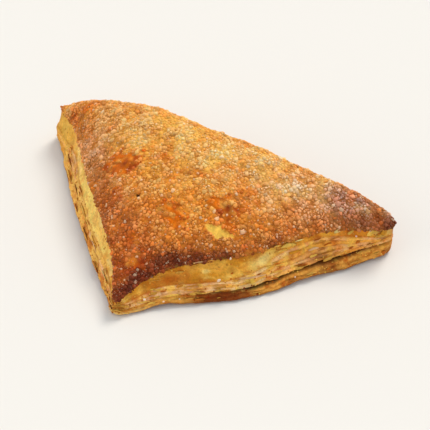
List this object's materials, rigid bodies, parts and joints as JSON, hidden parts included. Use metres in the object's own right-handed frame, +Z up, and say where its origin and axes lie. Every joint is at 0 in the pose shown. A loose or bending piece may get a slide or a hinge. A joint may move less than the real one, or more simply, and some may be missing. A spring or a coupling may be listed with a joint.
{
  "type": "turnover pastry",
  "caption": "Triangular puff pastry turnover, folded corner to corner over its filling, with a domed sugared crust and flaky layers showing along its two cut edges.",
  "frame": {"origin": "middle of the bounding box in plan, at the level of the flat underside", "axes": "+X along the folded edge, +Y from the blunt right-angled tip towards the folded edge, +Z up out of the underside"},
  "size_m": [0.1722, 0.0938, 0.0379],
  "materials": {
    "crust": "satin, baked golden brown with amber glazed patches; pale cream layers on the cut edges",
    "sugar": "coarse sugar grains, half melted, cream to caramel"
  },
  "bodies": {
    "root": {"pastry": "crust"}
  },
  "joints": []
}
